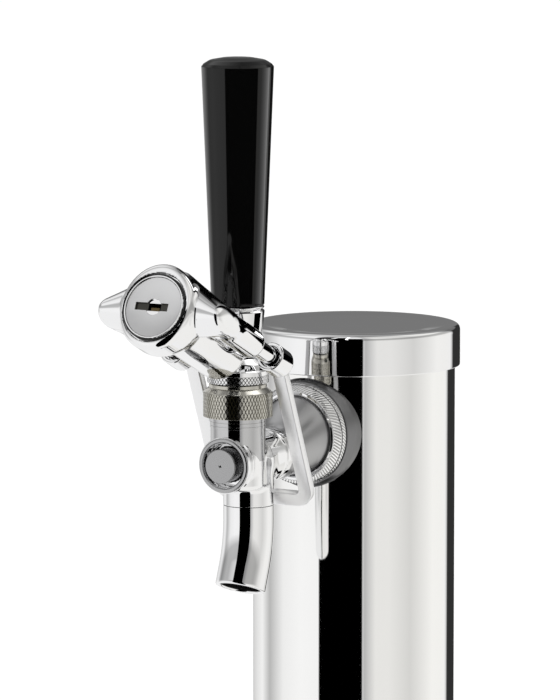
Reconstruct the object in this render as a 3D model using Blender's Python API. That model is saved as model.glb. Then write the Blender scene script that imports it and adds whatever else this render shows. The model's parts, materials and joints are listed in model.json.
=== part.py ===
"""Single-faucet beer tap tower with a key-operated faucet lock.

Metres, +Z up. The faucet points towards -Y and the tower stands on z = 0. The origin is under the
middle of the whole object, so the column's axis stands behind it, at y = COLUMN_Y.
"""

from math import acos, asin, cos, pi, radians, sin, sqrt

import bmesh
import bpy
from mathutils import Matrix, Vector

GAP = 0.0003

# Facets round a turned piece
FINE = 48
ROUND = 28
SMALL = 20
TINY = 14

# Column and its base
COLUMN_Y = 0.05007
COLUMN_R = 0.0381
COLUMN_WALL = 0.0015
COLUMN_TOP = 0.3520
GASKET_R = 0.0530
GASKET_H = 0.0020
FLANGE_R = 0.0545
FLANGE_H = 0.0035
FLANGE_HOLE_R = 0.0300
SOCKET_R = 0.0418
SOCKET_H = 0.0130
SCREW_CIRCLE_R = 0.0483
SCREW_HOLE_R = 0.0024
SCREW_HEAD_R = 0.0044
SCREW_HOLES = 4
SLEEVE_TOP = 0.2820
SLEEVE_BORE_R = 0.0240

# Cap
CAP_R = 0.0400
CAP_BOTTOM = 0.3400
CAP_TOP = 0.3560
CAP_RIM_R = 0.0032
CAP_PLATE = 0.0014
CAP_DISH = 0.0006

# Shank through the column wall, measured forward of the column's axis
SHANK_Z = 0.3184
SHANK_R = 0.0111
SHANK_BORE_R = 0.0048
SHANK_BACK = 0.0120
THREAD_R = 0.0164
SADDLE_R = 0.0205
SADDLE_FRONT = 0.0406
COLLAR_BACK = 0.0399
COLLAR_FRONT = 0.0436
TAIL_BACK = 0.0452
NUT_FRONT = 0.0472
NUT_R = 0.0189
NUT_MOUTH_R = 0.0154

# Faucet, measured forward of the column's axis
FAUCET_Y = 0.0890
VALVE_Z = 0.3140
BARREL_R = 0.0093
BOSS_R = 0.0097
BOSS_FRONT = 0.1000
BODY_R = 0.0100
GUIDE_R = 0.00645
SHAFT_R = 0.00615
SHAFT_FRONT = 0.1020
ROD_R = 0.0030
SEAT_BACK = 0.0620
SPOUT_ROOT = 0.0812
SPOUT_R = 0.00925
SPOUT_BORE_R = 0.0074
SPIGOT_R = 0.0082
SPOUT_TOP = 0.3040
SPOUT_BEND_Z = 0.2920
SPOUT_LEAN = radians(22)
SPOUT_BEND_R = 0.0470
SPOUT_END = 0.0080
SKIRT_BOTTOM = 0.2975

# Lever and bonnet, heights from the ball's centre
PIVOT_Z = 0.3345
BALL_R = 0.0080
NECK_R = 0.0028
STUD_R = 0.0047
FINGER_DROP = 0.0165
FINGER_TIP_R = 0.0022
BONNET_R = 0.0126
COLLAR_R = 0.0112
FERRULE_BOTTOM = 0.3530
HANDLE_BOTTOM = 0.3702
HANDLE_TOP = 0.4612
HANDLE_LOW_R = 0.0096
HANDLE_HIGH_R = 0.0131

# Faucet lock: its axis leans up towards the front, and depths run back from the lock's face
LOCK_FACE_Y = 0.1492
LOCK_FACE_Z = 0.3769
LOCK_PITCH = radians(24.3)
LIP_R = 0.0127
LOCK_R = 0.0153
LOCK_REAR_R = 0.0100
LOCK_LENGTH = 0.0540
WING_DEPTH = 0.0100
WING_R = 0.0140
WING_TIP_R = 0.0068
WING_TIP_X = 0.0192
WING_FLATNESS = 0.86
ARM_X = 0.0200
ARM_R = 0.00535
ARM_END = 0.0410
POST_R = 0.0032
POST_FRONT = 0.0105
POST_BACK = 0.0567
EYE_FRONT = 0.0525
EYE_BACK = 0.0640
CYLINDER_R = 0.0080
CYLINDER_BACK = 0.0110
FACE_R = 0.0110
PLUG_R = 0.0055
CAM_FRONT = 0.0122
CAM_BACK = 0.0148
BOLT_H = 0.0040
BOLT_FRONT = 0.0125
BOLT_BACK = 0.0145

# Shackle strap: a flat U cut from plate, leaning back towards the neck
STRAP_OUTER_X = 0.0206
STRAP_WIDTH = 0.0053
STRAP_THICK = 0.0031
STRAP_LEAN = radians(23.5)
STRAP_BOTTOM_Y = 0.0673
STRAP_BOTTOM_Z = 0.2965
STRAP_LENGTH = 0.0560
STRAP_CORNER_R = 0.0075

for old in list(bpy.data.objects):
    bpy.data.objects.remove(old)


# ---------------------------------------------------------------- helpers
def material(name, color, metallic, roughness):
    made = bpy.data.materials.new(name)
    made.use_nodes = True
    shader = made.node_tree.nodes["Principled BSDF"]
    shader.inputs["Base Color"].default_value = (*color, 1)
    shader.inputs["Metallic"].default_value = metallic
    shader.inputs["Roughness"].default_value = roughness
    return made


CHROME = material("chrome", (0.86, 0.86, 0.87), 1.0, 0.06)
STAINLESS = material("stainless", (0.82, 0.82, 0.82), 1.0, 0.12)
SATIN = material("satin_nickel", (0.62, 0.62, 0.62), 1.0, 0.38)
NICKEL = material("knurled_nickel", (0.56, 0.54, 0.49), 1.0, 0.30)
BRASS = material("brass", (0.72, 0.55, 0.28), 1.0, 0.30)
BLACK = material("black_plastic", (0.012, 0.012, 0.013), 0.0, 0.12)
RUBBER = material("rubber", (0.03, 0.03, 0.03), 0.0, 0.75)
FOAM = material("foam", (0.09, 0.09, 0.10), 0.0, 0.95)
NYLON = material("nylon", (0.75, 0.74, 0.70), 0.0, 0.45)


def frame(name, location, tilt=0.0):
    """An empty that pieces are parented to. tilt turns it about +X."""
    empty = bpy.data.objects.new(name, None)
    bpy.context.scene.collection.objects.link(empty)
    empty.location = location
    empty.rotation_euler = (tilt, 0, 0)
    return empty


def add(name, bm, parent, finish, smooth=True):
    """Turns a bmesh into an object, or into a hidden cutter when finish is None."""
    bmesh.ops.recalc_face_normals(bm, faces=bm.faces)
    mesh = bpy.data.meshes.new(name)
    bm.to_mesh(mesh)
    bm.free()
    made = bpy.data.objects.new(name, mesh)
    bpy.context.scene.collection.objects.link(made)
    made.parent = parent
    if finish is None:
        made.hide_render = True
        made.display_type = "WIRE"
        return made
    mesh.materials.append(finish)
    if smooth:
        mesh.shade_smooth()
        mesh.set_sharp_from_angle(angle=radians(35))
    return made


def turned(name, profile, parent, finish, sides=ROUND, about="Z", centre=(0, 0, 0)):
    """A solid turned from (radius, height) points, round the parent's Z, or its X."""
    bm = bmesh.new()
    points = [bm.verts.new((radius, 0, height)) for radius, height in profile]
    edges = [bm.edges.new(pair) for pair in zip(points, points[1:])]
    if profile[0][0] > 0:
        edges.append(bm.edges.new((points[-1], points[0])))
    bmesh.ops.spin(bm, geom=points + edges, axis=(0, 0, 1), angle=2 * pi, steps=sides, use_merge=True)
    bmesh.ops.remove_doubles(bm, verts=bm.verts, dist=1e-7)
    if about == "X":
        bmesh.ops.rotate(bm, verts=bm.verts, matrix=Matrix.Rotation(pi / 2, 3, "Y"))
    bmesh.ops.translate(bm, verts=bm.verts, vec=centre)
    return add(name, bm, parent, finish)


def plate(name, outline, thick, parent, finish, axis="Z", centre=(0, 0, 0)):
    """A flat outline of two coordinates, extruded thick about the middle along axis."""
    order = {"X": lambda u, v: (-thick / 2, u, v), "Y": lambda u, v: (u, -thick / 2, v),
             "Z": lambda u, v: (u, v, -thick / 2)}[axis]
    along = {"X": (thick, 0, 0), "Y": (0, thick, 0), "Z": (0, 0, thick)}[axis]
    bm = bmesh.new()
    face = bm.faces.new([bm.verts.new(order(u, v)) for u, v in outline])
    grown = bmesh.ops.extrude_face_region(bm, geom=[face])
    moved = [item for item in grown["geom"] if isinstance(item, bmesh.types.BMVert)]
    bmesh.ops.translate(bm, verts=moved, vec=along)
    bmesh.ops.translate(bm, verts=bm.verts, vec=centre)
    return add(name, bm, parent, finish)


def box(name, low, high, parent, finish):
    outline = [(low[0], low[1]), (high[0], low[1]), (high[0], high[1]), (low[0], high[1])]
    middle = (0, 0, (low[2] + high[2]) / 2)
    return plate(name, outline, high[2] - low[2], parent, finish, centre=middle)


def rod(name, radius, low, high, parent, finish, sides=SMALL, centre=(0, 0, 0), about="Z"):
    profile = [(0, low), (radius, low), (radius, high), (0, high)]
    return turned(name, profile, parent, finish, sides, about, centre)


def combine(target, other, operation, solver="EXACT"):
    step = target.modifiers.new(f"{operation.lower()} {other.name}", "BOOLEAN")
    step.operation = operation
    step.object = other
    step.solver = solver


def cut(target, *cutters, solver="EXACT"):
    for cutter in cutters:
        combine(target, cutter, "DIFFERENCE", solver)


def fuse(target, *others, solver="EXACT"):
    for other in others:
        combine(target, other, "UNION", solver)


def arc(centre, radius, start, end, steps):
    """Points of an arc as (u, v), angles in degrees from +u."""
    turns = [radians(start + (end - start) * i / steps) for i in range(steps + 1)]
    return [(centre[0] + radius * cos(a), centre[1] + radius * sin(a)) for a in turns]


def loft(name, rings, parent, finish, sides=ROUND):
    """A closed solid through circles of (centre, direction, radius) that face along direction."""
    bm = bmesh.new()
    loops = []
    for centre, direction, radius in rings:
        side = Vector((1, 0, 0))
        up = Vector(direction).normalized().cross(side)
        loops.append([bm.verts.new(Vector(centre) + radius * (cos(a) * side + sin(a) * up))
                      for a in (2 * pi * i / sides for i in range(sides))])
    for low, high in zip(loops, loops[1:]):
        for i in range(sides):
            j = (i + 1) % sides
            bm.faces.new((low[i], low[j], high[j], high[i]))
    bm.faces.new(loops[0])
    bm.faces.new(loops[-1])
    bmesh.ops.triangulate(bm, faces=bm.faces)
    return add(name, bm, parent, finish)


# ---------------------------------------------------------------- frames
TOWER = frame("tower_frame", (0, COLUMN_Y, 0))
SHANK = frame("shank_frame", (0, COLUMN_Y, SHANK_Z), tilt=pi / 2)
VALVE = frame("valve_frame", (0, COLUMN_Y, VALVE_Z), tilt=pi / 2)
LEVER = frame("lever_frame", (0, COLUMN_Y - FAUCET_Y, PIVOT_Z))
FAUCET = frame("faucet_frame", (0, COLUMN_Y - FAUCET_Y, 0))
LOCK = frame("lock_frame", (0, COLUMN_Y - LOCK_FACE_Y, LOCK_FACE_Z), tilt=pi / 2 - LOCK_PITCH)
STRAP = frame("strap_frame", (0, COLUMN_Y - STRAP_BOTTOM_Y, STRAP_BOTTOM_Z), tilt=STRAP_LEAN)


# ---------------------------------------------------------------- column
def screw_places():
    for i in range(SCREW_HOLES):
        turn = pi / 4 + 2 * pi * i / SCREW_HOLES
        yield i + 1, (SCREW_CIRCLE_R * cos(turn), SCREW_CIRCLE_R * sin(turn), 0)


def make_base():
    gasket = turned("base_gasket", [(FLANGE_HOLE_R, 0), (GASKET_R, 0), (GASKET_R, GASKET_H),
                                    (FLANGE_HOLE_R, GASKET_H)], TOWER, RUBBER)
    low = GASKET_H + GAP
    top = low + FLANGE_H
    socket_top = low + SOCKET_H
    inner = COLUMN_R + GAP
    profile = [(FLANGE_HOLE_R, low), (FLANGE_R - 0.0012, low), (FLANGE_R, low + 0.0012)]
    profile += [(FLANGE_R, top - 0.0010), (FLANGE_R - 0.0010, top), (SOCKET_R + 0.0012, top)]
    profile += [(SOCKET_R, top + 0.0012), (SOCKET_R, socket_top - 0.0012), (SOCKET_R - 0.0012, socket_top)]
    profile += [(inner, socket_top), (inner, low + 0.0025), (FLANGE_HOLE_R, low + 0.0025)]
    flange = turned("base_flange", profile, TOWER, CHROME, FINE)
    for number, place in screw_places():
        hole = rod(f"screw_hole_{number}", SCREW_HOLE_R, -0.001, 0.02, TOWER, None, TINY, place)
        sink = turned(f"screw_sink_{number}", [(0, top - 0.0022), (SCREW_HOLE_R, top - 0.0022),
                                               (SCREW_HEAD_R + 0.0002, top + 0.0001),
                                               (0, top + 0.0001)], TOWER, None, TINY, centre=place)
        cut(gasket, hole)
        cut(flange, hole, sink)
    return low + 0.0025


def make_column(ledge):
    low = ledge + GAP
    inner = COLUMN_R - COLUMN_WALL
    column = turned("column_tube", [(inner, low), (COLUMN_R, low), (COLUMN_R, COLUMN_TOP),
                                    (inner, COLUMN_TOP)], TOWER, STAINLESS, FINE)
    cut(column, rod("shank_hole", SHANK_R + GAP, 0.030, 0.045, SHANK, None, ROUND))
    turned("insulation_sleeve", [(SLEEVE_BORE_R, low), (inner - GAP, low),
                                 (inner - GAP, SLEEVE_TOP), (SLEEVE_BORE_R, SLEEVE_TOP)],
           TOWER, FOAM)


def make_cap():
    inner = COLUMN_R + GAP + 0.00005
    under = COLUMN_TOP + 0.0004
    rim = arc((CAP_R - CAP_RIM_R, CAP_TOP - CAP_RIM_R), CAP_RIM_R, 0, 90, 4)
    profile = [(inner, CAP_BOTTOM), (CAP_R, CAP_BOTTOM)] + rim
    profile += [(0.0290, CAP_TOP - CAP_DISH), (0, CAP_TOP - CAP_DISH)]
    profile += [(0, CAP_TOP - CAP_DISH - CAP_PLATE), (inner, under)]
    # The skirt's inside closes the section, so the axis points come in the middle of the list.
    start = profile.index((0, CAP_TOP - CAP_DISH - CAP_PLATE))
    turned("tower_cap", profile[start:] + profile[:start], TOWER, CHROME, FINE)


# ---------------------------------------------------------------- shank
def column_cutter(name, radius):
    return rod(name, radius, SHANK_Z - 0.03, SHANK_Z + 0.03, TOWER, None, FINE)


def make_shank():
    saddle = turned("shank_saddle", [(SHANK_R + GAP, 0.025), (SADDLE_R, 0.025),
                                     (SADDLE_R, SADDLE_FRONT - 0.0008),
                                     (SADDLE_R - 0.0008, SADDLE_FRONT),
                                     (THREAD_R + GAP, SADDLE_FRONT),
                                     (THREAD_R + GAP, COLLAR_BACK - GAP),
                                     (SHANK_R + GAP, COLLAR_BACK - GAP)], SHANK, SATIN)
    cut(saddle, column_cutter("saddle_cutter", COLUMN_R + GAP))
    turned("shank_tube", [(SHANK_BORE_R, SHANK_BACK), (SHANK_R, SHANK_BACK), (SHANK_R, COLLAR_BACK),
                          (THREAD_R, COLLAR_BACK), (THREAD_R, COLLAR_FRONT),
                          (0.0070, COLLAR_FRONT), (SHANK_BORE_R, COLLAR_FRONT - 0.0070)],
           SHANK, CHROME)
    face = 0.0305
    inner = COLUMN_R - COLUMN_WALL - GAP
    blank = turned("shank_washer", [(SHANK_R + GAP, face), (0.0150, face), (0.0150, 0.040),
                                    (SHANK_R + GAP, 0.040)], SHANK, SATIN)
    combine(blank, column_cutter("washer_cutter", inner), "INTERSECT")
    hexagon("shank_nut", 0.0160, SHANK_R + GAP, face - GAP - 0.0060, face - GAP, SHANK)
    make_tailpiece()
    turned("coupling_gasket", [(0.0078, COLLAR_FRONT + GAP), (THREAD_R - 0.0002, COLLAR_FRONT + GAP),
                               (THREAD_R - 0.0002, TAIL_BACK - GAP), (0.0078, TAIL_BACK - GAP)],
           SHANK, RUBBER)
    make_coupling_nut()


def hexagon(name, radius, bore_r, low, high, parent):
    """A six-sided nut with a round bore, radius to its corners."""
    corners = [(radius * cos(i * pi / 3), radius * sin(i * pi / 3)) for i in range(6)]
    nut = plate(name, corners, high - low, parent, BRASS, centre=(0, 0, (low + high) / 2))
    cut(nut, rod(f"{name}_bore", bore_r, low - 0.001, high + 0.001, parent, None))


def make_tailpiece():
    """The elbow that the beer line pushes on to, held by its own nut, inside the column."""
    turned("tail_gasket", [(0.0040, SHANK_BACK - GAP - 0.0012), (0.0085, SHANK_BACK - GAP - 0.0012),
                           (0.0085, SHANK_BACK - GAP), (0.0040, SHANK_BACK - GAP)], SHANK, RUBBER, SMALL)
    flange_front = SHANK_BACK - 2 * GAP - 0.0012
    elbow = turned("tail_elbow", [(0, -0.0050), (0.0050, -0.0050), (0.0050, flange_front - 0.0020),
                                  (0.0085, flange_front - 0.0020), (0.0085, flange_front),
                                  (0, flange_front)], SHANK, CHROME, TINY)
    barb = [(0, 0), (0.0050, 0), (0.0050, -0.0090), (0.0038, -0.0100)]
    for i in range(3):
        low = -0.0100 - 0.0052 * (i + 1)
        barb += [(0.0046, low + 0.0042), (0.0036, low)]
    barb += [(0, -0.0256)]
    leg = turned("tail_barb", barb, frame("tail_frame", (0, COLUMN_Y, SHANK_Z)), None, TINY)
    fuse(elbow, leg)
    bore = rod("tail_bore", 0.0024, 0, 0.02, SHANK, None, TINY)
    drop = rod("tail_drop", 0.0024, -0.03, 0.0, leg.parent, None, TINY)
    cut(elbow, bore, drop)
    low = flange_front - 0.0020 - GAP - 0.0025
    turned("tail_nut", [(0.0053, low), (0.0142, low), (0.0142, 0.0185), (SHANK_R + GAP, 0.0185),
                        (SHANK_R + GAP, low + 0.0025), (0.0053, low + 0.0025)], SHANK, CHROME)


def make_coupling_nut():
    back = SADDLE_FRONT + GAP
    groove = (back + NUT_FRONT - 0.0012) / 2
    turned("coupling_nut", [(THREAD_R + GAP, back), (NUT_R - 0.0004, back), (NUT_R, back + 0.0004),
                            (NUT_R, groove - 0.0004), (NUT_R - 0.0006, groove),
                            (NUT_R, groove + 0.0004), (NUT_R, NUT_FRONT - 0.0012),
                            (NUT_R - 0.0016, NUT_FRONT), (NUT_MOUTH_R, NUT_FRONT),
                            (NUT_MOUTH_R, NUT_FRONT - 0.0009), (THREAD_R + GAP, NUT_FRONT - 0.0009)],
           SHANK, CHROME)


# ---------------------------------------------------------------- faucet
def spout_path():
    """Centre line of the spout and its direction: straight down, then a bend forward."""
    for z in (SPOUT_TOP, SKIRT_BOTTOM - GAP):
        yield Vector((0, 0, z)), Vector((0, 0, -1))
    steps = 5
    for i in range(steps + 1):
        turn = SPOUT_LEAN * i / steps
        yield (Vector((0, -SPOUT_BEND_R * (1 - cos(turn)), SPOUT_BEND_Z - SPOUT_BEND_R * sin(turn))),
               Vector((0, -sin(turn), -cos(turn))))
    end = Vector((0, -sin(SPOUT_LEAN), -cos(SPOUT_LEAN)))
    last = Vector((0, -SPOUT_BEND_R * (1 - cos(SPOUT_LEAN)), SPOUT_BEND_Z - SPOUT_BEND_R * sin(SPOUT_LEAN)))
    yield last + SPOUT_END * end, end


def make_spout():
    place = frame("spout_frame", (0, COLUMN_Y - SPOUT_ROOT, 0))
    path = list(spout_path())
    spigot = [(point, way, SPIGOT_R) for point, way in path[:2]]
    spout = loft("spout", spigot + [(point, way, SPOUT_R) for point, way in path[1:]], place, CHROME, SMALL)
    start, way = path[0]
    end, last = path[-1]
    inner = [(start - 0.001 * way, way, SPOUT_BORE_R)]
    inner += [(point, way, SPOUT_BORE_R) for point, way in path]
    inner += [(end + 0.001 * last, last, SPOUT_BORE_R)]
    cut(spout, loft("spout_cutter", inner, place, None, SMALL))
    return place


def make_body(spout_place):
    """The cast faucet body: barrel, boss, neck, upright and spout skirt made one."""
    base = PIVOT_Z - 0.0002
    body = turned("faucet_body", [(0, 0.3040), (0.0070, 0.3050), (BODY_R, 0.3090), (BODY_R, base),
                                  (0, base)], FAUCET, CHROME)
    barrel = turned("barrel", [(0, 0.0600), (BARREL_R, 0.0600), (BARREL_R, 0.0940), (BOSS_R, 0.0948),
                               (BOSS_R + 0.0002, 0.0958), (BOSS_R - 0.0004, 0.0966),
                               (BOSS_R, 0.0974), (BOSS_R, 0.0993), (BOSS_R - 0.0007, BOSS_FRONT),
                               (0, BOSS_FRONT)], VALVE, None)
    rise = SHANK_Z - VALVE_Z
    start = 0.0640
    reach = TAIL_BACK + 0.0006
    rings = []
    for i in range(7):
        share = i / 6
        ease = share * share * (3 - 2 * share)
        forward = start + (reach - start) * share
        rings.append(((0, rise * ease, forward), (0, 0, 1),
                      BARREL_R + (NUT_MOUTH_R - 0.0003 - BARREL_R) * share ** 1.35))
    neck = loft("neck", rings, VALVE, None)
    flange = rod("tail_flange", THREAD_R, TAIL_BACK, TAIL_BACK + 0.0008, SHANK, None, ROUND)
    skirt = turned("skirt", [(0, SKIRT_BOTTOM), (SPOUT_R, SKIRT_BOTTOM), (0.0094, 0.3060),
                             (0.0090, 0.3120), (0, 0.3140)], spout_place, None)
    fuse(body, barrel, neck, flange, skirt, solver="MANIFOLD")
    guide = turned("guide_bore", [(0, SEAT_BACK - 0.0005), (0.0046, SEAT_BACK - 0.0005),
                                  (0.0046, SEAT_BACK + 0.0020), (GUIDE_R, SEAT_BACK + 0.0020),
                                  (GUIDE_R, 0.0950), (0.0079, 0.0950), (0.0079, 0.1010),
                                  (0, 0.1010)], VALVE, None, SMALL)
    chamber = rod("seat_chamber", 0.0078, 0.0480, SEAT_BACK, VALVE, None, SMALL)
    tail = rod("tail_chamber", 0.0078, TAIL_BACK - 0.001, 0.0520, SHANK, None, SMALL)
    cup = turned("ball_cup", [(0, PIVOT_Z - 0.0087), (0.0058, PIVOT_Z - 0.0087), (0.0058, PIVOT_Z - 0.0060),
                              (0.0087, PIVOT_Z - 0.0060), (0.0087, 0.3360), (0, 0.3360)],
                 FAUCET, None)
    slot = plate("finger_slot", [(-0.0028, 0.3290), (0.0054, 0.3290), (0.0124, 0.3180),
                                 (-0.0028, 0.3180)], 0.0054, FAUCET, None, axis="X")
    socket_r = SPIGOT_R + GAP
    socket = turned("spout_socket", [(0, 0.2960), (socket_r, 0.2960), (socket_r, SPOUT_TOP + GAP),
                                     (0.0058, SPOUT_TOP + GAP), (0.0058, VALVE_Z), (0, VALVE_Z)],
                    spout_place, None, SMALL)
    cut(body, guide, chamber, tail, cup, slot, socket, solver="MANIFOLD")


def make_valve():
    """The shaft that the lever's finger pushes back, with the washer and nut on its far end."""
    seat = SEAT_BACK
    shaft = turned("valve_shaft", [(0, seat - 0.0055), (ROD_R - 0.0008, seat - 0.0055),
                                   (ROD_R - 0.0008, seat), (ROD_R, seat), (ROD_R, 0.0830),
                                   (SHAFT_R, 0.0840), (SHAFT_R, SHAFT_FRONT - 0.0005),
                                   (SHAFT_R - 0.0005, SHAFT_FRONT), (0, SHAFT_FRONT)],
                   VALVE, CHROME, SMALL)
    half = FINGER_TIP_R + 0.0005
    floor = PIVOT_Z - FINGER_DROP - FINGER_TIP_R - 0.0004 - VALVE_Z
    cut(shaft, box("finger_pocket", (-half, floor, FAUCET_Y - half), (half, 0.0080, FAUCET_Y + half),
                   VALVE, None))
    hole = ROD_R - 0.0008 + GAP
    turned("seat_washer", [(hole, seat - 0.0023), (0.0066, seat - 0.0023), (0.0066, seat - GAP),
                           (hole, seat - GAP)], VALVE, RUBBER, SMALL)
    hexagon("shaft_nut", 0.0044, hole, seat - 0.0050, seat - 0.0026, VALVE)


# ---------------------------------------------------------------- bonnet, lever and handle
def make_bonnet():
    inner = BODY_R + GAP
    seat = BALL_R + GAP
    top = 0.0076
    throat = 0.0043
    curve = [(sqrt(seat * seat - h * h), h) for h in (0.0005, 0.0018, 0.0031, throat)]
    turned("bonnet_nut", [(inner, -0.0037), (BONNET_R - 0.0006, -0.0037), (BONNET_R, -0.0031),
                          (BONNET_R, 0.0052), (0.0113, top), (0.0082, top)] + curve[::-1]
           + [(inner, 0.0001)], LEVER, NICKEL)
    turned("ball_washer", [(0.0062, -0.0057), (0.0083, -0.0057), (0.0083, -0.0026),
                           (0.0062, -0.0055)], LEVER, NYLON, SMALL)


def make_lever():
    """Ball, finger below it and threaded stud above it, in one turned piece."""
    tip = FINGER_TIP_R
    finger_r = 0.0014
    tip_arc = [(tip * cos(radians(a)), -FINGER_DROP + tip * sin(radians(a))) for a in (-60, -30, 0, 25, 50)]
    start = -acos(finger_r / BALL_R)
    stop = acos(NECK_R / BALL_R)
    ball = [(BALL_R * cos(start + (stop - start) * i / 10), BALL_R * sin(start + (stop - start) * i / 10))
            for i in range(11)]
    profile = [(0, -FINGER_DROP - tip)] + tip_arc + ball
    profile += [(NECK_R, 0.0102), (STUD_R, 0.0124), (STUD_R, 0.0560), (0, 0.0560)]
    turned("lever", profile, LEVER, CHROME, SMALL)


def make_lever_collar():
    """The knurled collar, hollowed round the ball's centre so that it swings over the bonnet."""
    hollow = 0.0139
    bottom = 0.0089
    bore = STUD_R + GAP
    edge = sqrt(hollow * hollow - bottom * bottom)
    ceiling = sqrt(hollow * hollow - bore * bore)
    steps = 6
    first = asin(bottom / hollow)
    last = asin(ceiling / hollow)
    under = [(hollow * cos(first + (last - first) * i / steps), hollow * sin(first + (last - first) * i / steps))
             for i in range(steps + 1)]
    turned("lever_collar", [(edge, bottom), (COLLAR_R, bottom), (COLLAR_R, 0.0133), (0.0106, 0.0137),
                            (0.0098, 0.0160), (0.0078, 0.0180), (bore, 0.0182)] + under[::-1][:-1],
           LEVER, NICKEL)


def make_handle():
    bore = STUD_R + GAP
    low = FERRULE_BOTTOM - PIVOT_Z
    turned("handle_ferrule", [(bore, low), (0.0078, low), (0.0082, low + 0.0006), (0.0097, 0.0350),
                              (0.0094, 0.0355), (bore, 0.0355)], LEVER, CHROME)
    bottom = HANDLE_BOTTOM - PIVOT_Z
    top = HANDLE_TOP - PIVOT_Z
    dome = 0.0031
    turned("tap_handle", [(0, 0.0570), (bore, 0.0570), (bore, bottom), (HANDLE_LOW_R - 0.0003, bottom),
                          (HANDLE_LOW_R, bottom + 0.0003), (HANDLE_HIGH_R, top - dome - 0.0004),
                          (HANDLE_HIGH_R - 0.0008, top - dome + 0.0006),
                          (0.0100, top - 0.0011), (0.0055, top - 0.0003), (0, top)],
           LEVER, BLACK)


# ---------------------------------------------------------------- faucet lock
def make_housing():
    """The lock's cast housing. Heights are minus the depth behind its face."""
    lip = arc((LOCK_R - 0.0026, -0.0026), 0.0026, 90, 0, 5)
    housing = turned("lock_housing", [(0, 0)] + lip + [(LOCK_R, -0.0090), (LOCK_R - 0.0012, -0.0130),
                                                       (LOCK_REAR_R + 0.0010, -0.0200),
                                                       (LOCK_REAR_R, -0.0230),
                                                       (LOCK_REAR_R, 0.0026 - LOCK_LENGTH),
                                                       (LOCK_REAR_R - 0.0008, 0.0008 - LOCK_LENGTH),
                                                       (LOCK_REAR_R - 0.0026, -LOCK_LENGTH),
                                                       (0, -LOCK_LENGTH)], LOCK, CHROME)
    slope = acos((WING_R - WING_TIP_R) / WING_TIP_X)
    side = [(WING_TIP_R * sin(slope * i / 6), WING_TIP_X + WING_TIP_R * cos(slope * i / 6)) for i in range(7)]
    middle = (WING_R * sin(slope), WING_R * cos(slope))
    half = side + [middle]
    outline = half + [(radius, -x) for radius, x in half[::-1]]
    wings = turned("wings", outline, LOCK, None, SMALL, about="X")
    wings.location = (0, 0, -WING_DEPTH)
    wings.scale = (1, 1, WING_FLATNESS)
    fuse(housing, wings)
    for side_name, x in (("left", -ARM_X), ("right", ARM_X)):
        tip = [(ARM_R * cos(radians(a)), -ARM_END + ARM_R * sin(radians(a))) for a in (0, -20, -40, -52)]
        arm = turned(f"arm_{side_name}", [(0, -0.0120), (ARM_R, -0.0120)] + tip + [(0, tip[-1][1])],
                     LOCK, None, SMALL, centre=(x, 0, 0))
        fuse(housing, arm)
    pocket = turned("cylinder_pocket", [(0, 0.004), (LIP_R, 0.004), (LIP_R, -0.0023),
                                        (CYLINDER_R + GAP, -0.0023), (CYLINDER_R + GAP, -0.0158),
                                        (0, -0.0158)], LOCK, None)
    reach = ARM_X + 0.001
    channel = box("bolt_channel", (-reach, -BOLT_H / 2 - GAP, -BOLT_BACK - GAP),
                  (reach, BOLT_H / 2 + GAP, -BOLT_FRONT + GAP), LOCK, None)
    cut(housing, pocket, channel)
    for side_name, x in (("left", -ARM_X), ("right", ARM_X)):
        cut(housing, rod(f"post_bore_{side_name}", POST_R + GAP, -0.050, -POST_FRONT + 0.0008,
                         LOCK, None, TINY, centre=(x, 0, 0)))
    clearance = rod("lever_clearance", HANDLE_LOW_R + 0.0012, -0.0200, 0.0600, LEVER, None, ROUND)
    cut(housing, clearance)


def make_lock_works():
    face_back = -0.0016
    turned("lock_cylinder", [(PLUG_R + GAP, -CYLINDER_BACK), (CYLINDER_R, -CYLINDER_BACK),
                             (CYLINDER_R, -0.0020), (LIP_R - GAP, -0.0020), (LIP_R - GAP, 0.0002),
                             (LIP_R - 0.0006, 0.0005), (FACE_R + GAP, 0.0005),
                             (FACE_R + GAP, face_back), (PLUG_R + GAP, face_back)], LOCK, CHROME)
    plug = turned("lock_plug", [(0, -CAM_BACK - 0.0006), (0.0018, -CAM_BACK - 0.0006),
                                (0.0018, -CYLINDER_BACK - 0.0006), (PLUG_R, -CYLINDER_BACK - 0.0006),
                                (PLUG_R, face_back + GAP), (FACE_R, face_back + GAP),
                                (FACE_R, -0.0002), (FACE_R - 0.0002, 0), (0, 0)], LOCK, SATIN)
    keyway = box("keyway", (-0.0063, -0.0014, -0.0010), (0.0063, 0.0014, 0.001), LOCK, None)
    well = rod("keyway_well", 0.0030, -0.0075, 0.001, LOCK, None, SMALL)
    cut(plug, keyway, well)
    box("key_shutter", (-0.0023, -0.0011, -0.0034), (0.0023, 0.0011, -0.0016), LOCK, BRASS)
    cam = plate("lock_cam", cam_outline(), CAM_BACK - CAM_FRONT, LOCK, BRASS,
                centre=(0, 0, -(CAM_FRONT + CAM_BACK) / 2))
    cut(cam, rod("cam_bore", 0.0018 + GAP, -0.02, -0.01, LOCK, None, TINY))
    tip = ARM_X - POST_R - 0.0006
    for side_name, sign in (("left", -1), ("right", 1)):
        ends = sorted((sign * 0.0038, sign * tip))
        box(f"latch_{side_name}", (ends[0], -BOLT_H / 2, -BOLT_BACK),
            (ends[1], BOLT_H / 2, -BOLT_FRONT), LOCK, BRASS)


def cam_outline():
    """An oval cam: narrow across the bolts with the key level, wide with it upright."""
    wide, narrow, steps = 0.0051, 0.0034, 28
    turns = [2 * pi * i / steps for i in range(steps)]
    return [(narrow * cos(a), wide * sin(a)) for a in turns]


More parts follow.
